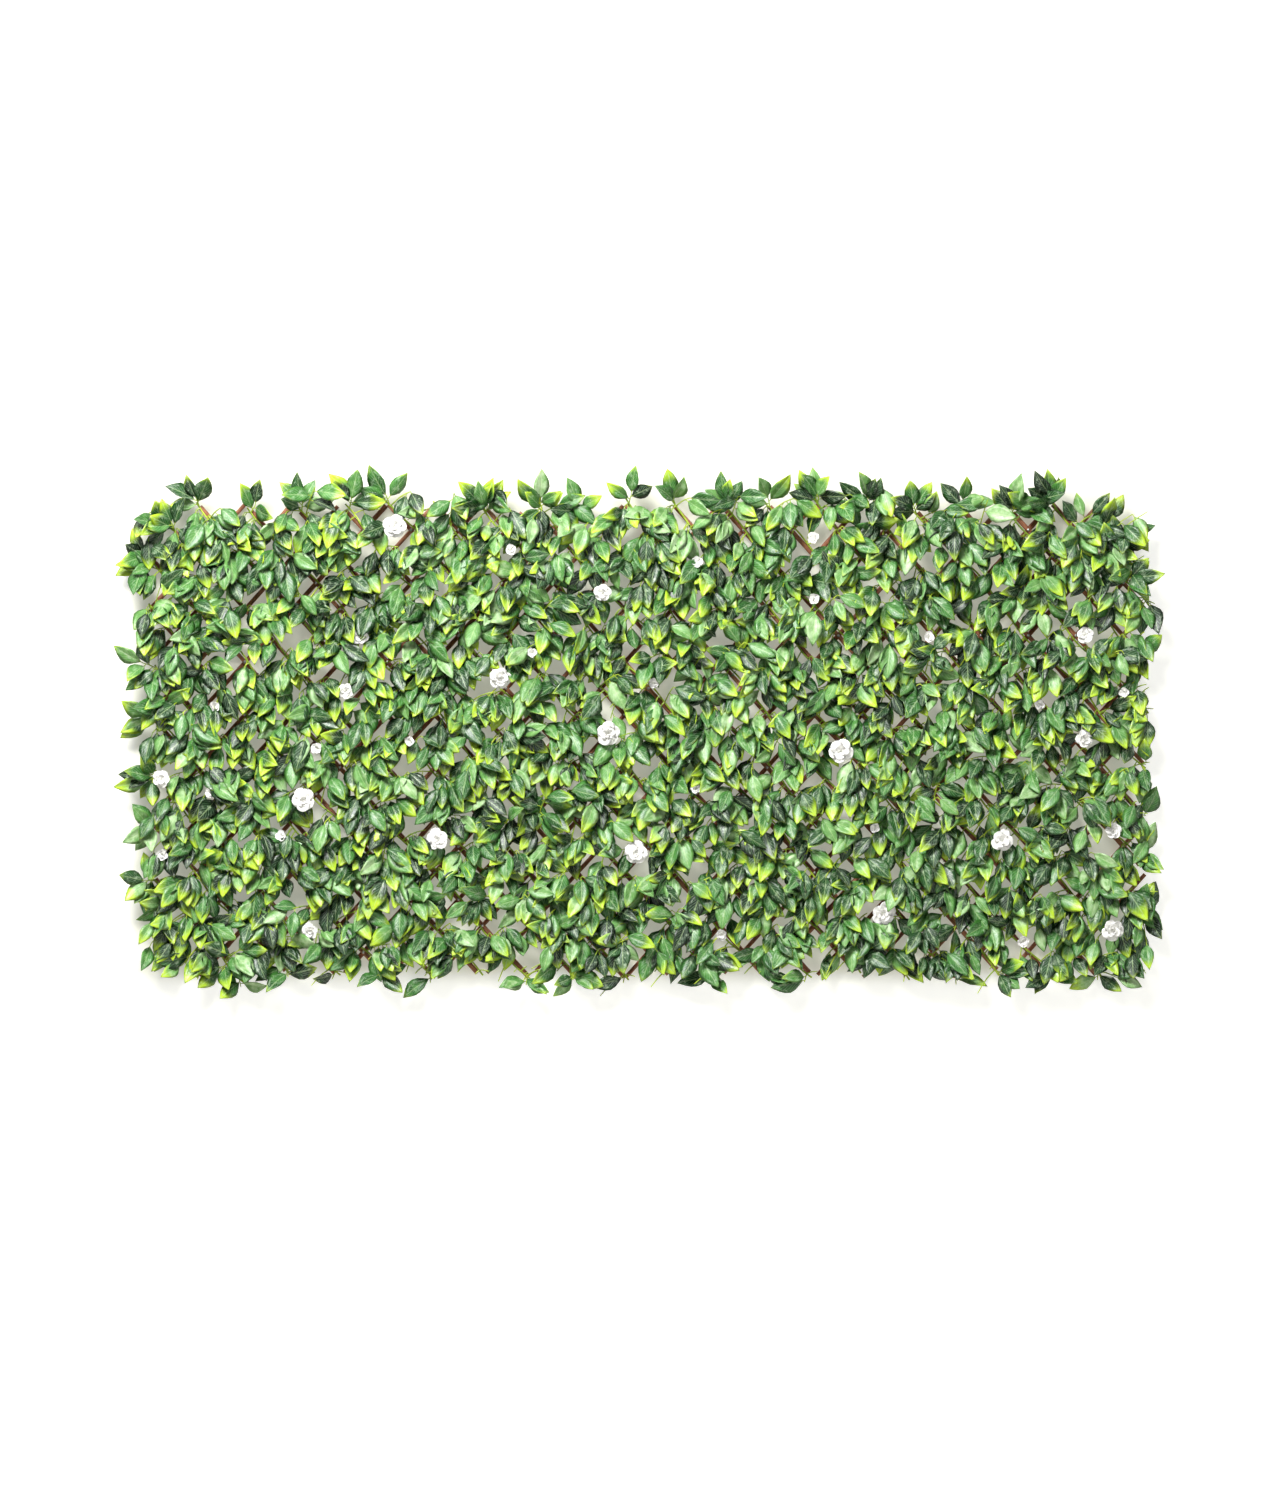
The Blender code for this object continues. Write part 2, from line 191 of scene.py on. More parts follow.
# Rosettes and buds: pixel, width in millimetres
ROSETTES = [
    (395, 527, 44), (304, 799, 44), (608, 733, 44), (840, 751, 45), (882, 912, 45), (636, 852, 43),
    (1001, 840, 41), (500, 678, 42), (1111, 929, 42), (438, 839, 40), (163, 779, 33), (361, 637, 31),
    (347, 691, 31), (603, 593, 33), (1084, 635, 32), (1083, 738, 33), (312, 930, 34), (1112, 831, 31),
    (318, 748, 24), (283, 836, 22), (211, 793, 22), (215, 706, 22), (532, 653, 21), (654, 683, 22),
    (698, 562, 24), (512, 550, 22), (813, 539, 24), (813, 599, 21), (928, 637, 22), (1038, 704, 21),
    (721, 933, 24), (874, 827, 20), (696, 788, 23), (410, 741, 20), (1022, 940, 24), (163, 854, 23),
    (1123, 692, 20),
]
ROSETTE_DEPTH = 58 * MM
ROSETTE_CLEARANCE = 9 * MM
ROSETTE_BEHIND = 22 * MM

# Rings of petals, for rosettes wider than a number of millimetres: petals, share of the width, rise in
# degrees and shape of each
PETAL_RINGS = [
    (38, [(5, 0.54, 12, 0), (4, 0.42, 32, 0), (3, 0.32, 52, 1), (2, 0.2, 66, 1)]),
    (27, [(5, 0.54, 18, 0), (3, 0.42, 40, 1), (2, 0.3, 60, 1)]),
    (0, [(4, 0.6, 34, 1), (2, 0.46, 56, 1)]),
]

VINE_SEED = 40
ROD_SEED = 7

# Where the wall turns to the white surround: the foliage's middle, and how far beside and above it
SURROUND_MIDDLE = (-0.026, 0.018)
SURROUND_BESIDE = (0.92, 0.99)
SURROUND_ABOVE = (0.43, 0.5)

# Lamps: place, width and height in metres, watts
LAMPS = {
    "key": ((-1.2, -3.0, 2.7), (2.2, 1.2), 320),
    "fill": ((2.2, -3.6, 0.6), (1.8, 1.8), 20),
    "rear": ((0.8, 3.2, 2), (2.4, 1.6), 170),
}


def placed(name, data):
    """A new object in the scene."""
    made = bpy.data.objects.new(name, data)
    bpy.context.scene.collection.objects.link(made)
    return made


def from_photo(x, y):
    """The point of the lattice's plane that the photograph shows at a pixel."""
    return Vector(((x - PHOTO_MIDDLE[0]) * PHOTO_SCALE, 0, (PHOTO_MIDDLE[1] - y) * PHOTO_SCALE))


def inside(edges, point):
    """Whether a point lies between edges that are given in pixels."""
    left, right, top, bottom = edges
    low, high = from_photo(left, bottom), from_photo(right, top)
    return low.x < point.x < high.x and low.z < point.z < high.z


def crossing(i, j):
    """Where front rod i crosses back rod j."""
    return Vector((PITCH * (i + j) * math.cos(SLOPE), 0, PITCH * (i - j) * math.sin(SLOPE)))


def crossed_by(k):
    """The rods of the other layer that rod k crosses."""
    return [m for m in STICKS if abs(k + m) <= MOST_ACROSS and abs(k - m) <= MOST_UP]


# Nodes, for materials and for geometry

# Nodes that are used often: type, inputs in the order their values are given, output and settings
OFTEN = {
    "object place": ("ShaderNodeTexCoord", (), "Object", {}),
    "noise": ("ShaderNodeTexNoise", ("Vector", "Scale", "Detail", "Roughness"), "Fac", {}),
    "seeded noise": (
        "ShaderNodeTexNoise", ("Vector", "W", "Scale", "Detail"), "Fac", {"noise_dimensions": "4D"}
    ),
    "step": ("ShaderNodeMapRange", range(5), 0, {"interpolation_type": "SMOOTHSTEP"}),
    "mix": ("ShaderNodeMix", (0, 6, 7), 2, {"data_type": "RGBA"}),
    "ramp": ("ShaderNodeValToRGB", (0,), "Color", {}),
    "stored": ("GeometryNodeInputNamedAttribute", ("Name",), 0, {}),
    "resampled": ("GeometryNodeResampleCurve", (0, "Length"), 0, {"mode": "LENGTH"}),
    "circle": ("GeometryNodeCurvePrimitiveCircle", (0, "Radius"), 0, {}),
    "swept": ("GeometryNodeCurveToMesh", (0, 1, "Scale", 3), 0, {}),
    "random": ("FunctionNodeRandomValue", (2, 3, "Seed"), 1, {}),
    "moved": ("GeometryNodeSetPosition", (0, "Offset"), 0, {}),
    "finished": ("GeometryNodeSetMaterial", (0, "Material", "Selection"), 0, {}),
    "bump": ("ShaderNodeBump", ("Height", "Distance", "Strength"), 0, {}),
    "scaled": ("ShaderNodeVectorMath", (0, "Scale"), 0, {"operation": "SCALE"}),
}


def linear(colour):
    """Linear red, green, blue and alpha of an sRGB hex colour."""
    shares = [int(colour[n : n + 2], 16) / 255 for n in (1, 3, 5)]
    return (*(c / 12.92 if c <= 0.04045 else ((c + 0.055) / 1.055) ** 2.4 for c in shares), 1)


def add_node(tree, kind, *values, output=None, stops=(), **settings):
    """Adds a node, gives its inputs values or links, and returns an output. The kind is a node's type, a
    name from the table or a Math operation. The values come in order or as one dictionary."""
    rare = ("ShaderNodeMath", range(3), 0, {"operation": kind})
    if "Node" in kind:
        rare = (kind, range(9), 0, {})
    node_type, order, usual_output, usual_settings = OFTEN.get(kind, rare)
    node = tree.nodes.new(node_type)
    for name, value in {**usual_settings, **settings}.items():
        setattr(node, name, value)
    named = values[0] if values and isinstance(values[0], dict) else dict(zip(order, values))
    for key, value in named.items():
        if isinstance(value, bpy.types.NodeSocket):
            tree.links.new(value, node.inputs[key])
        else:
            node.inputs[key].default_value = linear(value) if str(value).startswith("#") else value
    for n, (place, colour) in enumerate(stops):
        elements = node.color_ramp.elements
        stop = elements[n] if n < len(elements) else elements.new(1)
        stop.position = place
        stop.color = linear(colour)
    if node.outputs:
        return node.outputs[usual_output if output is None else output]
    return None


def lead(shader, **results):
    """Leads results into a shader's inputs."""
    for socket, result in results.items():
        shader.id_data.links.new(result, shader.inputs[socket.replace("_", " ")])


def new_finish(name, **constants):
    """A material with its Principled shader's constants set, what adds its nodes, and that shader."""
    made = bpy.data.materials.new(name)
    made.use_nodes = True
    shader = made.node_tree.nodes["Principled BSDF"]
    for socket, value in constants.items():
        shader.inputs[socket.replace("_", " ")].default_value = value
    return made, partial(add_node, made.node_tree), shader


def willow_bark(layer):
    """Willow bark, steamed and dried on the rod: dull red-brown, streaked along it, with pale flecks."""
    made, add, shader = new_finish(f"steamed_willow_bark_{layer}", IOR=1.45)
    turn = -SLOPE if layer == "front" else SLOPE
    turned = {"Vector": add("object place"), "Rotation": (0, turn, 0)}
    where = add("ShaderNodeMapping", turned)
    # streaks 2 mm wide and 40 mm long, cracks half as wide, flecks of 1 mm
    streak_place = add("ShaderNodeMapping", {"Vector": where, "Scale": (25, 500, 500)})
    crack_place = add("ShaderNodeMapping", {"Vector": where, "Scale": (60, 900, 900)})
    streaks = add("noise", streak_place, 1, 4, 0.6)
    cracks = add("noise", crack_place, 1, 3, 0.7)
    patches = add("noise", where, 14)
    tone = add("MULTIPLY_ADD", patches, 0.6, add("MULTIPLY", streaks, 0.55))
    stops = [(0.3, "#56301f"), (0.5, "#8a5337"), (0.64, "#a76e4f"), (0.85, "#c6977a")]
    colour = add("ramp", tone, stops=stops)
    colour = add("mix", add("step", cracks, 0.36, 0.5, 0.75, 0), colour, "#2b1511")
    flecks = add("step", add("noise", where, 650, 1), 0.7, 0.76, 0, 0.55)
    colour = add("mix", flecks, colour, "#bb9077")
    rough = add("step", cracks, 0.3, 0.7, 0.82, 0.55)
    relief = add("bump", add("ADD", cracks, streaks), 0.35 * MM, 0.7)
    lead(shader, Base_Color=colour, Roughness=rough, Normal=relief)
    return made


def cut_willow():
    """Sawn willow, the rods' ends: dull tan wood with darker grain."""
    made, add, shader = new_finish("sawn_willow", Roughness=0.85, IOR=1.45)
    grain = add("noise", add("object place"), 900, 3)
    colour = add("ramp", grain, stops=[(0.3, "#6b4530"), (0.55, "#96694a"), (0.8, "#b58b66")])
    lead(shader, Base_Color=colour, Normal=add("bump", grain, 0.2 * MM, 0.5))
    return made


def nail_steel():
    """Galvanised nail wire, left outdoors: grey, half dull, with brownish blooms."""
    made, add, shader = new_finish("galvanised_nail_wire", Metallic=1)
    blotches = add("noise", add("object place"), 450, 3)
    colour = add("ramp", blotches, stops=[(0.35, "#6d655d"), (0.5, "#9a9893"), (0.7, "#b9b8b4")])
    rough = add("step", blotches, 0.3, 0.7, 0.6, 0.35)
    relief = add("bump", blotches, 0.1 * MM, 0.4)
    lead(shader, Base_Color=colour, Roughness=rough, Normal=relief)
    return made


def stem_plastic():
    """Soft moulded polyethylene, the vine's stems: yellow-green, waxy, darker in patches along them."""
    made, add, shader = new_finish("moulded_polyethylene_stem", IOR=1.45)
    patches = add("noise", add("object place"), 32)
    colour = add("ramp", patches, stops=[(0.3, "#6a8a22"), (0.48, "#9db932"), (0.7, "#bfd245")])
    fine = add("noise", add("object place"), 700)
    rough = add("step", fine, 0.3, 0.7, 0.5, 0.7)
    lead(shader, Base_Color=colour, Roughness=rough, Normal=add("bump", fine, 0.15 * MM, 0.4))
    return made


def tie_plastic():
    """Plastic-coated wire, the ties: dark green, with the coating's slight waxiness."""
    made, add, shader = new_finish("coated_tie_wire", Roughness=0.5, IOR=1.5)
    worn = add("noise", add("object place"), 260)
    colour = add("ramp", worn, stops=[(0.4, "#26401f"), (0.7, "#496b2f")])
    lead(shader, Base_Color=colour, Normal=add("bump", worn, 0.1 * MM, 0.3))
    return made


def printed_leaf():
    """Leaf of printed polyester cloth, hot-pressed and glazed: green with lime tips and margins, pale midrib
    and veins pressed in, a faint gloss and a painted whitish sheen in front, and a dark dull back, partly
    painted shade. Tone differs leaf by leaf; the palest greens are partly a painted sheen and the darkest
    partly painted shade."""
    constants = {"Specular_IOR_Level": 0.3, "Coat_Weight": 0.2, "Coat_Roughness": 0.25}
    made, add, shader = new_finish("pressed_polyester_leaf", **constants)
    place = add("ShaderNodeAttribute", output="Vector", attribute_name="blade_place")
    tone = add("ShaderNodeAttribute", output="Fac", attribute_name="tone")
    back = add("ShaderNodeAttribute", output="Fac", attribute_name="underside")
    split = add("ShaderNodeSeparateXYZ", place).node.outputs
    across, along = add("ABSOLUTE", split[0]), split[1]
    cloudy = add("noise", add("object place"), 70)

    # a second number from 0 to 1 for each leaf, from the decimals of its tone
    other = add("FRACT", add("MULTIPLY", tone, 7.31))
    # tone that differs at random from leaf to leaf and in clouds; its palest greens are partly a painted
    # sheen and its darkest partly painted shade
    greens = add("MULTIPLY_ADD", tone, 0.75, -0.12)
    greens = add("MULTIPLY_ADD", cloudy, 0.5, greens)
    stops = [(0.15, "#071e07"), (0.38, "#1c4a16"), (0.6, "#427c31"), (0.8, "#6ea052"), (1, "#c0d9a8")]
    green = add("ramp", greens, stops=stops)
    veins = add("MULTIPLY", add("MULTIPLY_ADD", across, -0.4, along), 8)
    veins = add("SUBTRACT", add("FRACT", veins), 0.5)
    veins = add("step", add("ABSOLUTE", veins), 0.36, 0.48)
    veins = add("MULTIPLY", veins, add("step", across, 0.95, 0.5))
    rib = add("step", across, 0.03, 0.1, 1, 0)
    green = add("mix", add("MULTIPLY", veins, 0.3), green, "#a5cfa4")

    # the lime print starts between four tenths of the way to the tip and the tip, sooner at the margin
    reach = add("MULTIPLY_ADD", add("POWER", across, 3), 0.16, along)
    reach = add("MULTIPLY_ADD", cloudy, 0.3, reach)
    reach = add("MULTIPLY_ADD", other, 0.62, reach)
    lime = add("mix", along, "#9aca2a", "#bede30")
    colour = add("mix", add("step", reach, 1.16, 1.57), green, lime)
    colour = add("mix", add("MULTIPLY", rib, 0.32), colour, "#c3dfa0")

    # a painted whitish sheen in streaks between the veins, on other places of each leaf
    shift = add("ShaderNodeCombineXYZ", add("MULTIPLY", tone, 40))
    streaked = {"Vector": place, "Location": shift, "Scale": (1.6, 4.5, 1)}
    painted_sheen = add("noise", add("ShaderNodeMapping", streaked), 1, 4, 0.65)
    colour = add("mix", add("step", painted_sheen, 0.5, 0.72, 0, 0.56), colour, "#c4dab6")

    # the back: dark green, partly its own colour and partly painted shade, with lime towards the tip and a
    # paler rib
    reverse = add("mix", tone, "#0f240f", "#234520")
    reverse = add("mix", add("step", along, 0.6, 1, 0, 0.7), reverse, "#5c7a2a")
    reverse = add("mix", add("MULTIPLY", rib, 0.4), reverse, "#7d9a5a")
    colour = add("mix", back, colour, reverse)
    rough = add("MULTIPLY_ADD", back, 0.28, add("step", cloudy, 0.3, 0.7, 0.3, 0.46))
    pressed = add("MULTIPLY_ADD", veins, -0.35, add("MULTIPLY", rib, -0.8))
    relief = add("bump", pressed, 0.5 * MM, 0.8)
    lead(shader, Base_Color=colour, Roughness=rough, Normal=relief)
    return made


def petal_cloth():
    """White polyester satin, heat-curled petals: soft white with a faint painted glow, creased along with
    painted shade in the creases, and grey-green at the foot, partly a trace of green and partly painted
    shade.
    """
    # a faint white glow, though the petals are no lamp: painted light that brightens them
    glow = {"Emission_Color": linear("#ffffff"), "Emission_Strength": 0.09}
    made, add, shader = new_finish("curled_white_satin", Roughness=0.6, IOR=1.45, **glow)
    place = add("ShaderNodeAttribute", output="Vector", attribute_name="blade_place")
    along = add("ShaderNodeSeparateXYZ", place, output=1)
    creases_and_painted_shade = add("noise", add("ShaderNodeMapping", {"Vector": place, "Scale": (9, 1.5, 1)}), 1, 3)
    # grey-green towards each petal's foot: partly a trace of green, partly painted shade at the rosette's
    # heart
    colour = add("mix", add("step", along, 0, 0.45, 1, 0), "#f6f5f1", "#cfd2c2")
    # grey along the creases: painted shade; the same noise also gives the creases their relief
    colour = add("mix", add("step", creases_and_painted_shade, 0.3, 0.55, 0.4, 0), colour, "#d4d3cc")
    lead(shader, Base_Color=colour, Normal=add("bump", creases_and_painted_shade, 0.6 * MM, 0.5))
    return made


# Geometry node trees


def new_tree(name, **inputs):
    """A tree with geometry in and out and named inputs, what adds its nodes, and what it is given."""
    tree = bpy.data.node_groups.new(name, "GeometryNodeTree")
    tree.interface.new_socket("Geometry", in_out="INPUT", socket_type="NodeSocketGeometry")
    for label, kind in inputs.items():
        tree.interface.new_socket(label, in_out="INPUT", socket_type=f"NodeSocket{kind}")
    tree.interface.new_socket("Geometry", in_out="OUTPUT", socket_type="NodeSocketGeometry")
    return tree, partial(add_node, tree), tree.nodes.new("NodeGroupInput").outputs


def grown(name, plan, tree, **inputs):
    """A plain mesh of what the tree makes of a plan mesh."""
    carrier = placed("plan", plan)
    modifier = carrier.modifiers.new("Grow", "NODES")
    modifier.node_group = tree
    for item in tree.interface.items_tree:
        if item.in_out == "INPUT" and item.name in inputs:
            modifier[item.identifier] = inputs[item.name]
    seen = bpy.context.evaluated_depsgraph_get()
    finished = carrier.evaluated_get(seen)
    mesh = bpy.data.meshes.new_from_object(finished, preserve_all_data_layers=True, depsgraph=seen)
    carrier.modifiers.remove(modifier)
    bpy.data.objects.remove(carrier)
    mesh.name = name
    return mesh


def rod_tree():
    """A knotty rod round a line: evenly bowed, thick as the line says, with bark relief and sawn ends."""
    tree, add, given = new_tree("Willow rod", Seed="Float", Bark="Material", Sawn="Material")
    line = add("GeometryNodeMeshToCurve", given["Geometry"])
    line = add("resampled", line, ROD_STEP)
    place = add("GeometryNodeInputPosition")
    wander = add("seeded noise", place, given["Seed"], 5, 1, output="Color")
    wander = add("ShaderNodeVectorMath", wander, (0.5, 0.5, 0.5), operation="SUBTRACT")
    wander = add("ShaderNodeVectorMath", wander, (2, 0.2, 2), operation="MULTIPLY")
    wander = add("scaled", wander, ROD_BOW)
    line = add("moved", line, wander)
    # with level normals, the second side of the outline lies on the lattice's plane
    line = add("GeometryNodeSetCurveNormal", line, mode="Z_UP")

    length = add("GeometryNodeSplineParameter", output="Length")
    turns = add("ADD", add("DIVIDE", length, KNOT_SPACING), given["Seed"])
    off = add("ABSOLUTE", add("SUBTRACT", add("FRACT", turns), 0.5))
    off = add("MULTIPLY", off, KNOT_SPACING)
    knot = add("step", off, 0, KNOT_WIDTH, KNOT_HEIGHT, 0)
    thick = add("ADD", add("stored", "thick"), knot)
    outline = add("circle", ROD_SIDES, 1)
    outline = add("GeometryNodeTransform", {0: outline, "Scale": (1, ROD_BREADTH, 1)})
    body = add("swept", line, outline, thick, True)

    relief = add("SUBTRACT", add("seeded noise", place, given["Seed"], 90, 2), 0.7)
    relief = add("MULTIPLY", relief, BARK_RELIEF)
    relief = add("scaled", add("GeometryNodeInputNormal"), relief)
    body = add("moved", body, relief)
    body = add("GeometryNodeRealizeInstances", body)
    corners = add("GeometryNodeInputMeshFaceNeighbors", output="Vertex Count")
    end = add("FunctionNodeCompare", {2: corners, 3: 4}, data_type="INT", operation="GREATER_THAN")
    side = add("FunctionNodeCompare", {2: corners, 3: 4}, data_type="INT", operation="EQUAL")
    body = add("GeometryNodeSetShadeSmooth", {0: body, "Shade Smooth": side})
    body = add("finished", body, given["Bark"])
    add("NodeGroupOutput", add("finished", body, given["Sawn"], end))
    return tree


def thread_tree():
    """Round threads along lines, smoothly bent and as thick as the lines say."""
    tree, add, given = new_tree("Round threads", Finish="Material")
    line = add("GeometryNodeMeshToCurve", given["Geometry"])
    line = add("GeometryNodeCurveSplineType", line, spline_type="CATMULL_ROM")
    line = add("resampled", line, THREAD_STEP)
    thick = add("stored", "thick")
    outline = add("circle", THREAD_SIDES, 1)
    body = add("swept", line, outline, thick, True)
    body = add("GeometryNodeRealizeInstances", body)
    add("NodeGroupOutput", add("finished", body, given["Finish"]))
    return tree


def set_out_tree():
    """One of a few shapes on every point, turned and sized as the point says, with some scatter."""
    kinds = {"Shapes": "Collection", "Size": "Float", "Roll": "Float", "Seed": "Int", "Finish": "Material"}
    tree, add, given = new_tree("Shapes set out", **kinds)
    picked = {"Collection": given["Shapes"], "Separate Children": True, "Reset Children": True}
    turn = add("stored", "turn", data_type="FLOAT_VECTOR")
    size = add("stored", "size", data_type="FLOAT_VECTOR")

    low = add("SUBTRACT", 1, given["Size"])
    high = add("ADD", 1, given["Size"])
    spread = add("random", low, high, given["Seed"])
    low, high = add("MULTIPLY", given["Roll"], -1), given["Roll"]
    roll = add("random", low, high, add("ADD", given["Seed"], 1))
    roll = add("FunctionNodeEulerToRotation", add("ShaderNodeCombineXYZ", roll))
    turn = add("FunctionNodeEulerToRotation", turn)
    instances = {
        "Points": given["Geometry"],
        "Instance": add("GeometryNodeCollectionInfo", picked),
        "Pick Instance": True,
        "Instance Index": add("stored", "kind", data_type="INT"),
        "Rotation": add("FunctionNodeRotateRotation", turn, roll, rotation_space="LOCAL"),
        "Scale": add("scaled", size, spread),
    }
    body = add("GeometryNodeInstanceOnPoints", instances)
    tone = add("random", 0, 1, add("ADD", given["Seed"], 2))
    toned = {"Geometry": body, "Name": "tone", "Value": tone}
    body = add("GeometryNodeStoreNamedAttribute", toned, data_type="FLOAT", domain="INSTANCE")
    body = add("GeometryNodeRealizeInstances", body)
    add("NodeGroupOutput", add("finished", body, given["Finish"]))
    return tree


def plan_of_points(rows):
    """Loose points with a turn, a size and a kind for each, for the tree that sets shapes out."""
    mesh = bpy.data.meshes.new("plan")
    mesh.from_pydata([row["at"] for row in rows], [], [])
    for label in ("turn", "size"):
        values = [x for row in rows for x in row[label]]
        mesh.attributes.new(label, "FLOAT_VECTOR", "POINT").data.foreach_set("vector", values)
    kinds = [row.get("kind", 0) for row in rows]
    mesh.attributes.new("kind", "INT", "POINT").data.foreach_set("value", kinds)
    return mesh


def plan_of_lines(lines):
    """Open lines, each a list of (point, thickness)."""
    points, edges, thick = [], [], []
    for line in lines:
        first = len(points)
        points += [point for point, _ in line]
        thick += [radius for _, radius in line]
        edges += [(first + n, first + n + 1) for n in range(len(line) - 1)]
    mesh = bpy.data.meshes.new("plan")
    mesh.from_pydata(points, edges, [])
    mesh.attributes.new("thick", "FLOAT", "POINT").data.foreach_set("value", thick)
    return mesh


# Shapes that the trees repeat


def as_mesh(name, shape, outwards=True):
    """A mesh of a bmesh, which is freed."""
    if outwards:
        bmesh.ops.recalc_face_normals(shape, faces=shape.faces)
    mesh = bpy.data.meshes.new(name)
    shape.to_mesh(mesh)
    shape.free()
    return mesh


def shapes(name, meshes):
    """A collection of shapes to pick from, outside the scene, in the order given."""
    made = bpy.data.collections.new(name)
    for n, mesh in enumerate(meshes):
        made.objects.link(bpy.data.objects.new(f"{name}_{n}", mesh))
    return made


def blade(name, widths, arch, cup, ruffle, twist, thickness):
    """A leaf or petal one unit long and wide, as a closed thin shell with its front to +Z. Widths are
    (place along, share of the width), arch lifts its middle, cup its margins, and ruffle waves them."""
    shape = bmesh.new()
    place = shape.verts.layers.float_vector.new("blade_place")
    underside = shape.faces.layers.float.new("underside")
    waves_along, waves_across = 15, 1.3

    def corner(along, across, width, sunk):
        rise = arch * 4 * along * (1 - along) + cup * across**2 * width
        wave = ruffle * math.sin(along * waves_along + across * waves_across) * abs(across)
        turn = twist * along * across * width
        height = rise + wave + turn - sunk * thickness * (1 - across**2)
        vert = shape.verts.new((along, across * width / 2, height))
        vert[place] = (across, along, 0)
        return vert

    columns = (-1, -0.5, 0, 0.5, 1)
    fronts, backs = [], []
    for along, width in widths:
        front = [corner(along, u, width, 0) for u in columns]
        inner = [corner(along, u, width, 1) for u in columns[1:-1]]
        fronts.append(front)
        backs.append([front[0], *inner, front[-1]])
    tip = corner(1, 0, 0, 0)
    for rows, is_back in ((fronts, 0), (backs, 1)):
        made = []
        for near, far in zip(rows, rows[1:]):
            for n in range(len(columns) - 1):
                made.append((near[n], far[n], far[n + 1], near[n + 1]))
        made += [(rows[-1][n], tip, rows[-1][n + 1]) for n in range(len(columns) - 1)]
        # both sides start at one corner, so that they are cut in triangles along the same diagonals
        for corners in made:
            face = shape.faces.new([corners[0], *corners[:0:-1]] if is_back else corners)
            face[underside] = is_back
            face.smooth = True
    shape.faces.new([*fronts[0], *backs[0][-2:0:-1]])
    return as_mesh(name, shape)


def leaf_shapes():
    """Three pressed leaves: gently arched, folded with its tip curled back, and waved."""
    ovate = [(0, 0.06), (0.11, 0.42), (0.26, 0.84), (0.42, 1), (0.59, 0.9), (0.75, 0.62), (0.9, 0.26)]
    slim = [(0, 0.06), (0.11, 0.34), (0.26, 0.7), (0.43, 0.88), (0.6, 0.82), (0.76, 0.56), (0.9, 0.24)]
    cloth = 0.012
    arched = blade("leaf_arched", ovate, arch=0.05, cup=0.07, ruffle=0.008, twist=0.03, thickness=cloth)
    folded = blade("leaf_folded", slim, arch=0.09, cup=0.13, ruffle=0.012, twist=-0.05, thickness=cloth)
    waved = blade("leaf_waved", ovate, arch=0.025, cup=-0.06, ruffle=0.022, twist=0.06, thickness=cloth)
    return shapes("leaf", [arched, folded, waved])


def petal_shapes():
    """Petals of the rosettes: an open outer one and a cupped inner one."""
    broad = [(0, 0.2), (0.15, 0.6), (0.35, 0.93), (0.6, 1), (0.82, 0.86), (0.95, 0.52)]
    opened = blade("petal_open", broad, arch=0.1, cup=0.12, ruffle=0.06, twist=0.05, thickness=0.03)
    cupped = blade("petal_cupped", broad, arch=-0.06, cup=0.26, ruffle=0.05, twist=-0.04, thickness=0.03)
    return shapes("petal", [opened, cupped])


def bridge(shape, rings):
    """Smooth faces between rings of points, and a flat one over each end."""
    for near, far in zip(rings, rings[1:]):
        for n in range(len(near)):
            shape.faces.new((near[n - 1], near[n], far[n], far[n - 1])).smooth = True
    shape.faces.new(rings[0][::-1])
    shape.faces.new(rings[-1])


def tube(shape, points, radius, sides):
    """A closed tube of even thickness through points, in bmesh."""
    angles = [2 * math.pi * k / sides for k in range(sides)]
    rings = []
    for n, point in enumerate(points):
        before, after = points[max(n - 1, 0)], points[min(n + 1, len(points) - 1)]
        turn = (after - before).to_track_quat("Z", "Y")
        ring = [turn @ Vector((math.cos(a), math.sin(a), 0)) * radius + point for a in angles]
        rings.append([shape.verts.new(p) for p in ring])
    bridge(shape, rings)


def nail_shape():
    """A clinched nail: domed head at the front, wire through both rods, tail bent flat along the back."""
    shape = bmesh.new()
    angles = [2 * math.pi * k / NAIL_HEAD_SIDES for k in range(NAIL_HEAD_SIDES)]
    rings = []
    for share, rise in NAIL_HEAD_RINGS:
        points = [(math.cos(a) * share, rise, math.sin(a) * share) for a in angles]
        rings.append([shape.verts.new(Vector(p) * NAIL_HEAD) for p in points])
    bridge(shape, rings)
    bend = NAIL_REACH + NAIL_WIRE
    corner = (0.4 * MM, bend - 0.2 * MM, 0)
    path = [(0, -0.5 * MM, 0), (0, NAIL_REACH - NAIL_WIRE, 0), corner, (NAIL_TAIL, bend, 0)]
    tube(shape, [Vector(p) for p in path], NAIL_WIRE, NAIL_WIRE_SIDES)
    return shapes("nail", [as_mesh("nail", shape)])


def tie_shape():
    """A wire tie: a loop round rod and stem, which run along X, and its twisted ends in front."""
    shape = bmesh.new()
    opening = 0.04
    loop = []
    for n in range(TIE_POINTS):
        share = n / (TIE_POINTS - 1)
        angle = 2 * math.pi * (opening + (1 - 2 * opening) * share)
        across, out = TIE_HALF_WIDTH * math.sin(angle), -TIE_HALF_DEPTH * math.cos(angle)
        loop.append(Vector((TIE_SLANT * (share - 0.5), out, across)))
    ends = [Vector((0.4 * n, -1.6 * n, 1.1 * (-1) ** n)) * MM for n in range(1, TIE_TWISTS + 1)]
    tube(shape, loop + [loop[-1] + end for end in ends], TIE_WIRE, TIE_SIDES)
    return shapes("tie", [as_mesh("tie", shape)])


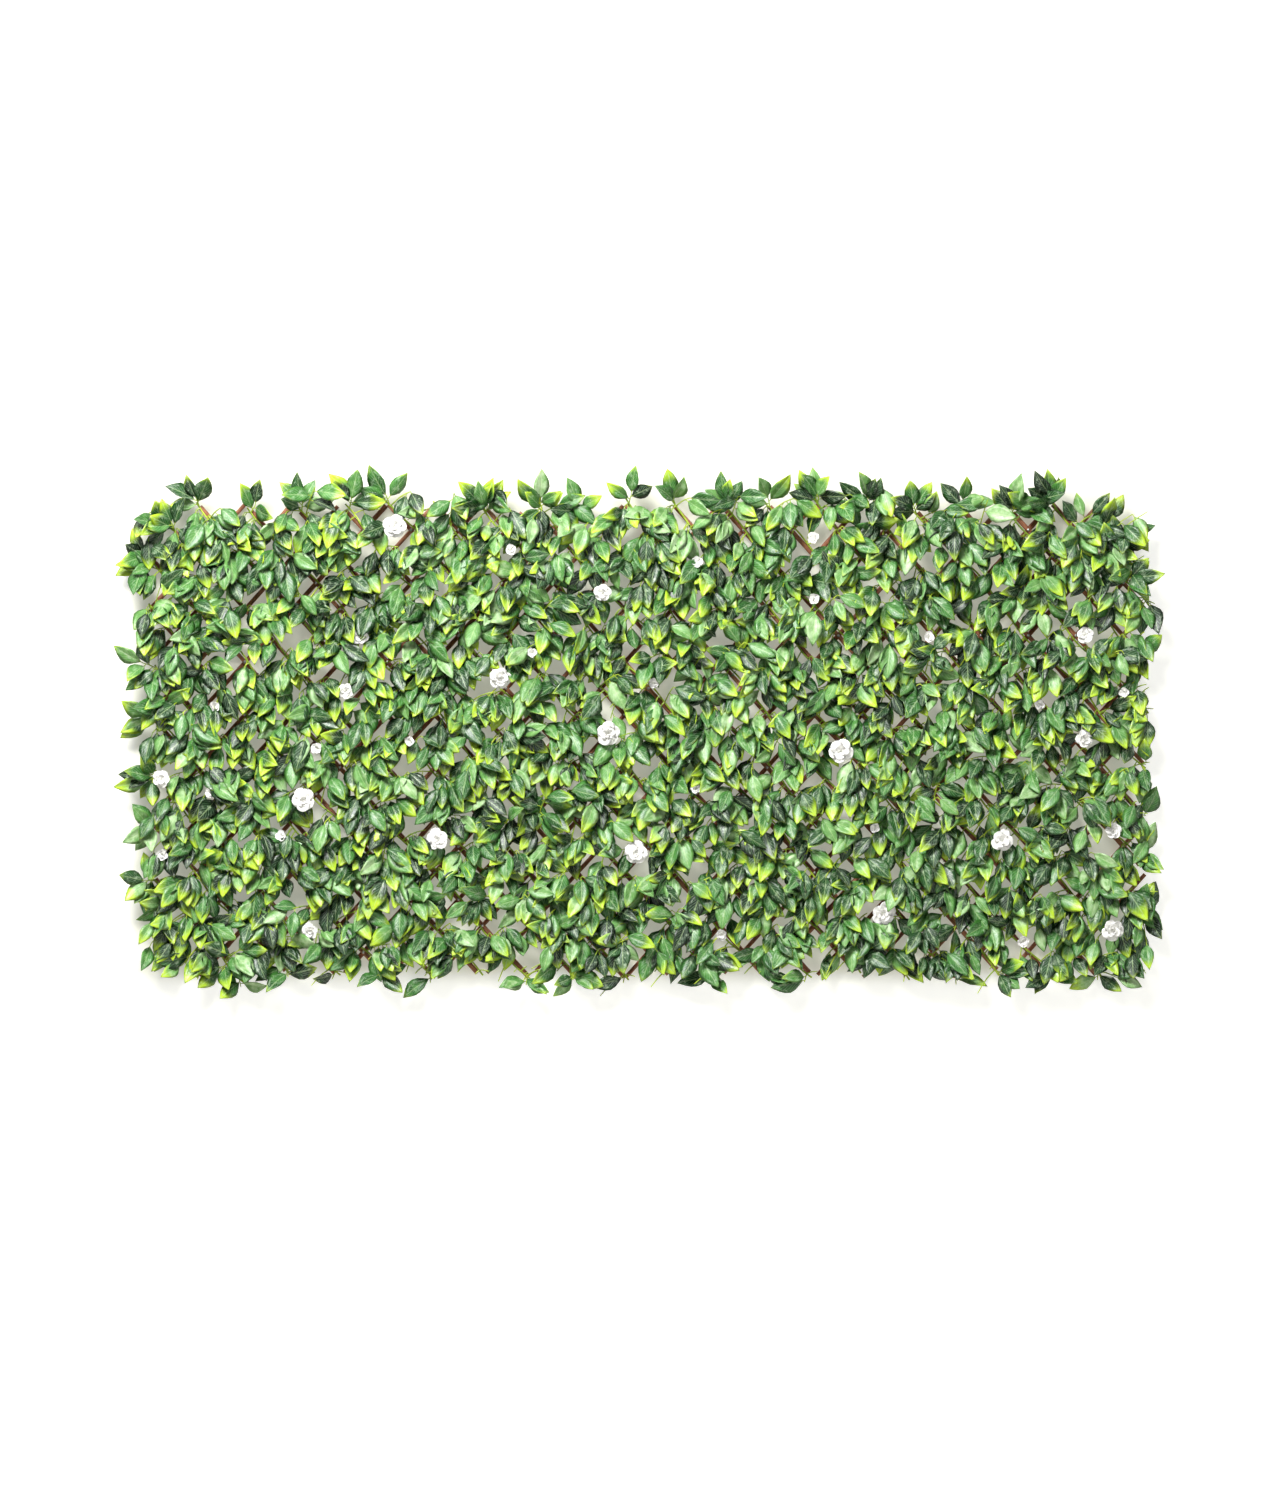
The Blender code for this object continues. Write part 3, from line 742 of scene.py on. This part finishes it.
# The rods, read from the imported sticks


class Rod:
    """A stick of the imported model: its centre line's two ends, and its half thickness at each."""

    def __init__(self, layer, k):
        self.layer, self.k = layer, k
        self.number = k + OUTERMOST + 1
        self.node = f"{layer}_stick_{self.number:02d}"
        self.way = WAY[layer]
        self.origin = crossing(k, 0) if layer == "front" else crossing(0, k)
        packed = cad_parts[self.node]
        points = [packed.matrix_world @ v.co for v in packed.data.vertices]
        reach = [p.dot(self.way) for p in points]
        self.ends, self.halves = [], []
        for limit in (min(reach), max(reach)):
            depths = [-p.y for p, r in zip(points, reach) if abs(r - limit) < END_REACH]
            end = self.origin + self.way * (limit - self.origin.dot(self.way))
            end.y = -(min(depths) + max(depths)) / 2
            self.ends.append(end)
            self.halves.append((max(depths) - min(depths)) / 2)
        self.start, self.end = (e.dot(self.way) - self.origin.dot(self.way) for e in self.ends)

    def share(self, s):
        """How far along the rod a distance from its origin is, from 0 to 1."""
        return min(1, max(0, (s - self.start) / (self.end - self.start)))

    def at(self, s):
        """Centre of the rod at a distance from its crossing with the other layer's middle rod."""
        past = s - min(self.end, max(self.start, s))
        return self.ends[0].lerp(self.ends[1], self.share(s)) + self.way * past

    def half(self, s):
        """Half the rod's thickness there."""
        return self.halves[0] + (self.halves[1] - self.halves[0]) * self.share(s)

    def front_depth(self, s):
        """Depth of the rod's front there, from the wall."""
        return -self.at(s).y + self.half(s)


# The vines


def heading(angle):
    """Unit direction on the lattice's plane, counted from +X towards +Z."""
    return Vector((math.cos(angle), 0, math.sin(angle)))


def facing(way, lean, roll):
    """Turn that lays a blade along way, its tip leaning forwards and its front to the viewer."""
    along = (way * math.cos(lean) + Vector((0, -math.sin(lean), 0))).normalized()
    front = Vector((0, -1, 0))
    normal = (front - along * front.dot(along)).normalized()
    across = normal.cross(along)
    turn = Matrix((along, across, normal)).transposed() @ Matrix.Rotation(roll, 3, "X")
    return along, tuple(turn.to_euler())


class Vine:
    """One vine along a front rod: its stem, twigs and stalks as lines, its leaves and petals as points."""

    def __init__(self, rod):
        self.rod = rod
        self.chance = random.Random(VINE_SEED + rod.k)
        self.swing = self.chance.uniform(0, 2 * math.pi)
        self.start = rod.start - STEM_PAST
        self.end = rod.end + STEM_PAST
        self.lines, self.leaves, self.petals, self.ties = [], [], [], []
        self.lay_stem()

    def scatter(self, most):
        """A random number up to the most, either way."""
        return most * self.chance.uniform(-1, 1)

    def stem_at(self, s):
        """Centre of the stem, which swings from side to side of its rod and lies on its front."""
        wave = 2 * math.pi * s / STEM_SWING_LENGTH + self.swing
        change = 1 - STEM_SWING_CHANGE + STEM_SWING_CHANGE * math.sin(2.3 * wave)
        depth = self.rod.front_depth(s) + STEM_RADIUS + STEM_RISE * (1.2 + math.sin(1.7 * wave))
        point = self.rod.at(s) + ACROSS * (STEM_SWING * math.sin(wave) * change)
        return Vector((point.x, -depth, point.z))

    def lay_stem(self):
        """The stem's line, a little longer than its rod."""
        count = round((self.end - self.start) / STEM_STEP)
        places = [self.start + (self.end - self.start) * n / count for n in range(count + 1)]
        self.lines.append([(self.stem_at(s), STEM_RADIUS) for s in places])

    def add_leaf(self, foot, angle, lean, size, edges):
        """A leaf on a short stalk, unless its tip would lie past the edges. It leans forwards no further
        than the deepest leaf may."""
        way = heading(angle)
        along, turn = facing(way, lean, self.scatter(math.radians(LEAF_ROLL)))
        base = foot + along * self.chance.uniform(*STALK_LENGTH)
        length = LEAF_LENGTH * size
        spare = (DEEPEST_LEAF + base.y) / length
        if math.sin(lean) > spare:
            roll = self.scatter(math.radians(LEAF_ROLL_AT_LIMIT))
            along, turn = facing(way, math.asin(max(0, spare)), roll)
        if not inside(edges, base + along * length):
            return
        into_leaf = base + along * length * 0.06
        leaf = {"at": base, "turn": turn, "size": (length, LEAF_WIDTH * size, length)}
        leaf["kind"] = self.chance.randrange(3)
        leaf["middle"] = base + along * length / 2
        leaf["stalk"] = [(foot, STALK_RADIUS), (into_leaf, STALK_RADIUS)]
        self.leaves.append(leaf)

    def add_spray(self, s, angle, reach, count, fall, rise=None, edges=FIELD_EDGES):
        """A twig from the stem, a leaf at its tip and the others to one side and the other in turn. The
        more they fall, the more the leaves hang down instead of following the twig."""
        foot = self.stem_at(s)
        rise = self.chance.uniform(*TWIG_RISE) if rise is None else rise
        tip = foot + heading(angle) * reach - Vector((0, rise, 0))
        bend = foot.lerp(tip, 0.5) + Vector((0, -0.15 * rise, 0.08 * reach))
        self.lines.append([(foot, TWIG_RADIUS), (bend, TWIG_RADIUS), (tip, TWIG_TIP)])
        side = self.chance.choice((-1, 1))
        for n in range(count):
            share = 1 - LEAFED_SHARE * n / count
            at = foot.lerp(bend, share).lerp(bend.lerp(tip, share), share)
            aside = side * math.radians(self.chance.uniform(*LEAF_ASIDE)) if n else 0
            way = heading(angle + aside) + heading(DOWN) * fall
            turned = math.atan2(way.z, way.x) + self.scatter(math.radians(LEAF_TURN))
            lean = math.radians(self.chance.uniform(*LEAF_LEAN))
            self.add_leaf(at, turned, lean, self.chance.uniform(*LEAF_SIZE), edges)
            side = -side

    def grow(self):
        """Sprays all along, to one side and the other."""
        side = 1 if self.chance.random() < 0.5 else -1
        s = self.start + SPRAY_SPACING * self.chance.uniform(0.3, 0.7)
        square_to_rod = math.pi / 2 - SLOPE
        while s < self.end - SPRAY_SPACING / 4:
            angle = square_to_rod if side > 0 else square_to_rod + math.pi
            angle += self.scatter(math.radians(SPRAY_TURN))
            reach = self.chance.uniform(*TWIG_LENGTH)
            count = self.chance.choice(LEAVES_TO_A_SPRAY)
            self.add_spray(s, angle, reach, count, self.chance.uniform(*SPRAY_FALL))
            s += SPRAY_SPACING + self.scatter(SPRAY_SCATTER)
            side = -side

    def tie(self):
        """Wire ties round rod and stem, in every second gap between crossings."""
        turn = tuple(Matrix.Rotation(SLOPE, 3, "Y").to_euler())
        for m in crossed_by(self.rod.k)[:-1][self.rod.k % 2 :: 2]:
            s = PITCH * (m + 0.5)
            stem, rod = self.stem_at(s), self.rod.at(s)
            aside = (stem - rod).dot(ACROSS)
            stretch = (abs(aside) / 2 + TIE_SPARE) / TIE_HALF_WIDTH
            self.ties.append({"at": (stem + rod) / 2, "turn": turn, "size": (1, 1, stretch)})

    def add_rosette(self, s, at, width):
        """A twig to a ruffled flower, and its rings of petals."""
        foot = self.stem_at(s)
        face = Vector((self.scatter(0.3), -1, self.scatter(0.25) - 0.05)).normalized()
        depth = ROSETTE_DEPTH * (0.8 + 0.2 * width / (45 * MM))
        centre = Vector((at.x, -depth, at.z))
        back = centre - face * 5 * MM
        bend = foot.lerp(back, 0.6) + heading(DOWN) * 4 * MM
        self.lines.append([(point, TWIG_RADIUS) for point in (foot, bend, back)])
        to_face = face.to_track_quat("Z", "Y").to_matrix()
        for count, share, rise, kind in next(rings for least, rings in PETAL_RINGS if width > least * MM):
            first = self.chance.uniform(0, 2 * math.pi)
            size = (width * share, width * share * 1.05, width * share)
            for n in range(count):
                around = first + 2 * math.pi * n / count + self.scatter(0.15)
                lift = math.radians(rise + self.scatter(9))
                turn = Matrix.Rotation(around, 3, "Z") @ Matrix.Rotation(-lift, 3, "Y")
                turn = to_face @ turn @ Matrix.Rotation(self.scatter(0.2), 3, "X")
                self.petals.append({"at": centre, "turn": tuple(turn.to_euler()), "size": size, "kind": kind})


def nearest(vines, place):
    """The vine whose stem comes nearest to a place on the plane: how near, which, and how far along it."""
    best = None
    for vine in vines.values():
        s = (place - vine.rod.origin).dot(vine.rod.way)
        s = min(vine.end - STEM_END, max(vine.start + STEM_END, s))
        stem = vine.stem_at(s)
        gap = math.hypot(stem.x - place.x, stem.z - place.z)
        if best is None or gap < best[0]:
            best = gap, vine, s
    return best


def reach_out(vines):
    """Sprays past the lattice's edges, each with a leaf tip where the photograph has one."""
    for outwards, tips in EDGE_TIPS.items():
        for x, y in tips:
            tip = from_photo(x, y)
            gap, vine, s = nearest(vines, tip)
            foot = vine.stem_at(s)
            angle = math.atan2(tip.z - foot.z, tip.x - foot.x)
            if gap < LEAF_LENGTH:
                angle = outwards + vine.scatter(EDGE_TURN)
            reach = max(EDGE_REACH, gap - LEAF_LENGTH)
            count = vine.chance.choice(EDGE_LEAVES)
            rise = vine.chance.uniform(*EDGE_RISE) * MM
            vine.add_spray(s, angle, reach, count, 0, rise, FARTHEST_EDGES)


def fill_gaps(vines):
    """Small sprays to places that no leaf covers, so that few diamonds stay open."""
    chance = random.Random(VINE_SEED)
    leaves = [leaf["middle"] for vine in vines.values() for leaf in vine.leaves]
    covered = kdtree.KDTree(len(leaves))
    for n, middle in enumerate(leaves):
        covered.insert((middle.x, 0, middle.z), n)
    covered.balance()
    rows = int(FIELD_HEIGHT / GAP_SPACING)
    columns = int(FIELD_WIDTH / GAP_SPACING)
    added = []
    for row in range(rows + 1):
        for column in range(columns + 1):
            x = (column / columns - 0.5) * FIELD_WIDTH + chance.uniform(-GAP_SCATTER, GAP_SCATTER) * MM
            z = (row / rows - 0.5) * FIELD_HEIGHT + chance.uniform(-GAP_SCATTER, GAP_SCATTER) * MM
            place = Vector((x, 0, z))
            apart = min([covered.find(place)[2], *((c - place).length for c in added[-GAP_MEMORY:])])
            if apart < OPEN_RADIUS or chance.random() < LEFT_OPEN:
                continue
            gap, vine, s = nearest(vines, place)
            foot = vine.stem_at(s)
            before = len(vine.leaves)
            angle = math.atan2(z - foot.z, x - foot.x)
            vine.add_spray(s, angle, max(GAP_REACH, gap - GAP_REACH), GAP_LEAVES, GAP_FALL)
            added += [Vector((c["middle"].x, 0, c["middle"].z)) for c in vine.leaves[before:]]


def put_rosettes(vines):
    """Flowers and buds where the photograph has them, with the leaves in front of them taken away."""
    for x, y, width in ROSETTES:
        at = from_photo(x, y)
        _, vine, s = nearest(vines, at)
        vine.add_rosette(s, at, width * MM)
        clear = width * MM / 2 + ROSETTE_CLEARANCE
        for other in vines.values():
            kept = []
            for leaf in other.leaves:
                middle = leaf["middle"]
                apart = math.hypot(middle.x - at.x, middle.z - at.z)
                if apart > clear or -middle.y < ROSETTE_DEPTH - ROSETTE_BEHIND:
                    kept.append(leaf)
            other.leaves[:] = kept


# Pieces


def piece(mesh, body):
    """A finished piece at the origin, riding on a body."""
    made = placed(mesh.name, mesh)
    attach(made, body)
    return made


def build_rods(rods, finishes):
    """The willow rods, each in place of its packed stick."""
    tree = rod_tree()
    for n, rod in enumerate(rods):
        name = f"willow_{rod.layer}_{rod.number:02d}"
        line = [(end, half - ROD_SHRINK) for end, half in zip(rod.ends, rod.halves)]
        given = {"Seed": ROD_SEED + 0.37 * n, "Bark": finishes[rod.layer], "Sawn": finishes["sawn"]}
        mesh = grown(name, plan_of_lines([line]), tree, **given)
        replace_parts(piece(mesh, rod.node), rod.node)


def set_out(name, rows, tree, shape, finish, seed=0, size=0.0, roll=0.0):
    """One mesh of shapes, set out on rows of points, with some scatter of size and roll."""
    given = {"Shapes": shape, "Finish": finish, "Seed": seed, "Size": size, "Roll": roll}
    return grown(name, plan_of_points(rows), tree, **given)


def build_nails(front, back, tree, finish):
    """Nails at all crossings but the middle one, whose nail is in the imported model."""
    shape = nail_shape()
    for i, rod in front.items():
        rows = []
        chance = random.Random(ROD_SEED + i)
        for j in crossed_by(i):
            if (i, j) == (0, 0):
                continue
            at = crossing(i, j)
            near = rod.front_depth(PITCH * j) - ROD_SHRINK
            far = -back[j].at(PITCH * i).y - back[j].half(PITCH * i)
            at.y = -near
            turn = (0, chance.uniform(0, 2 * math.pi), 0)
            rows.append({"at": at, "turn": turn, "size": (1, (near - far) / NAIL_REACH, 1)})
        mesh = set_out(f"nails_{rod.number:02d}", rows, tree, shape, finish)
        piece(mesh, rod.node)


def build_vines(vines, tree, finishes):
    """Each vine's stems, leaves, rosettes and ties."""
    threads = thread_tree()
    leaf, petal, tie = leaf_shapes(), petal_shapes(), tie_shape()
    for i, vine in vines.items():
        number, body = vine.rod.number, vine.rod.node
        lines = plan_of_lines(vine.lines + [leaf_row["stalk"] for leaf_row in vine.leaves])
        soft = [grown(f"vine_stems_{number:02d}", lines, threads, Finish=finishes["stem"])]
        name = f"vine_leaves_{number:02d}"
        soft.append(set_out(name, vine.leaves, tree, leaf, finishes["leaf"], 100 + i, LEAF_SCATTER, 0.2))
        if vine.petals:
            name = f"rosettes_{number:02d}"
            soft.append(set_out(name, vine.petals, tree, petal, finishes["petal"], 200 + i, 0.06, 0.1))
        middle = vine.rod.at(0)
        for mesh in soft:
            made = piece(mesh, body)
            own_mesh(made)
            if number in GARLANDS:
                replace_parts(made, GARLANDS[number])
        if vine.ties:
            mesh = set_out(f"ties_{number:02d}", vine.ties, tree, tie, finishes["tie"], 50 + i, 0.0, 0.05)
            piece(mesh, body)


# The wall, floor, lamps and camera


def shown_rays(add):
    """Light Path's outputs, and 1 for rays that show the background: straight, mirrored or through glass."""
    path = add("ShaderNodeLightPath").node.outputs
    shown = add("MAXIMUM", path["Is Camera Ray"], path["Is Glossy Ray"])
    return path, add("MAXIMUM", shown, path["Is Transmission Ray"])


def white_stage(name, colour, veil, edge_veil):
    """Pale matt paint that shades as paint does and is lifted to white where nothing shades it, by more
    beside the trellis than behind it, as the photograph's white surround is. It lets lamps behind it
    through, and is clear from behind, so that the trellis is seen from all sides."""
    made = bpy.data.materials.new(name)
    made.use_nodes = True
    made.node_tree.nodes.clear()
    add = partial(add_node, made.node_tree)
    path, shown = shown_rays(add)
    place = add("ShaderNodeSeparateXYZ", add("object place")).node.outputs
    beside = add("ABSOLUTE", add("SUBTRACT", place[0], SURROUND_MIDDLE[0]))
    above = add("ABSOLUTE", add("SUBTRACT", place[2], SURROUND_MIDDLE[1]))
    outside = add("MAXIMUM", add("step", beside, *SURROUND_BESIDE), add("step", above, *SURROUND_ABOVE))
    strength = add("MULTIPLY", shown, add("step", outside, 0, 1, veil, edge_veil))
    # the glow is grey-green behind the trellis, painted bounce light from the leaves, and white beside it
    glow = add("ShaderNodeEmission", add("mix", outside, "#e4e8d9", "#ffffff"), strength)
    both = add("ShaderNodeAddShader", add("ShaderNodeBsdfDiffuse", colour), glow)
    behind = add("ShaderNodeNewGeometry", output="Backfacing")
    let_by = add("MAXIMUM", behind, path["Is Shadow Ray"])
    clear = add("ShaderNodeBsdfTransparent")
    add("ShaderNodeOutputMaterial", add("ShaderNodeMixShader", let_by, both, clear))
    return made


def add_sheet(name, half_width, half_height, matrix, finish):
    """A flat sheet of the stage."""
    shape = bmesh.new()
    bmesh.ops.create_grid(shape, x_segments=1, y_segments=1, size=1)
    size = Matrix.Diagonal((half_width, half_height, 1, 1))
    bmesh.ops.transform(shape, matrix=matrix @ size, verts=shape.verts)
    mesh = as_mesh(name, shape, outwards=False)
    mesh.materials.append(finish)
    placed(name, mesh)


def build_stage():
    """A wall just behind the trellis, a floor well below it, a white world and three soft lamps."""
    paint = white_stage("white_wall_paint", "#cdccbe", 0.38, 0.74)
    facing_front = Matrix.Translation((0, 0.8 * MM, 0)) @ Matrix.Rotation(math.pi / 2, 4, "X")
    add_sheet("wall", 6, 4, facing_front, paint)
    floor_paint = white_stage("white_floor_paint", "#b9b7b0", 0.85, 0.85)
    add_sheet("floor", 9, 9, Matrix.Translation((0, 0, -1.6)), floor_paint)

    world = bpy.data.worlds.new("studio")
    bpy.context.scene.world = world
    world.use_nodes = True
    world.node_tree.nodes.clear()
    add = partial(add_node, world.node_tree)
    _, shown = shown_rays(add)
    strength = add("step", shown, 0, 1, 0.03, 1)
    add("ShaderNodeOutputWorld", add("ShaderNodeBackground", "#ffffff", strength))

    for name, (at, size, power) in LAMPS.items():
        lamp = bpy.data.lights.new(name, "AREA")
        lamp.shape = "RECTANGLE"
        lamp.size, lamp.size_y = size
        lamp.energy = power
        made = placed(name, lamp)
        made.location = at
        made.rotation_euler = (-Vector(at)).to_track_quat("-Z", "Y").to_euler()


def build_camera():
    """Straight in front, through a long lens, with the photograph's framing."""
    distance, lattice_depth, sensor = 10, 30 * MM, 36
    width, height = PHOTO_SIZE
    camera = bpy.data.cameras.new("camera")
    camera.sensor_width = sensor
    camera.lens = sensor * distance / (height * PHOTO_SCALE)
    made = placed("camera", camera)
    middle = from_photo(width / 2, height / 2)
    made.location = (middle.x, -distance - lattice_depth, middle.z)
    made.rotation_euler = (math.pi / 2, 0, 0)
    bpy.context.scene.camera = made


def main():
    """Builds everything in and round the trellis."""
    front = {k: Rod("front", k) for k in STICKS}
    back = {k: Rod("back", k) for k in STICKS}
    steel = nail_steel()
    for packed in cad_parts["centre_nail"].material_slots:
        packed.material = steel

    vines = {k: Vine(rod) for k, rod in front.items()}
    for vine in vines.values():
        vine.grow()
        vine.tie()
    reach_out(vines)
    fill_gaps(vines)
    put_rosettes(vines)

    bark = {"front": willow_bark("front"), "back": willow_bark("back"), "sawn": cut_willow()}
    build_rods([*front.values(), *back.values()], bark)
    tree = set_out_tree()
    build_nails(front, back, tree, steel)
    finishes = {"stem": stem_plastic(), "leaf": printed_leaf(), "petal": petal_cloth(), "tie": tie_plastic()}
    build_vines(vines, tree, finishes)
    build_stage()
    build_camera()
    bpy.context.scene.view_settings.view_transform = "Standard"


main()
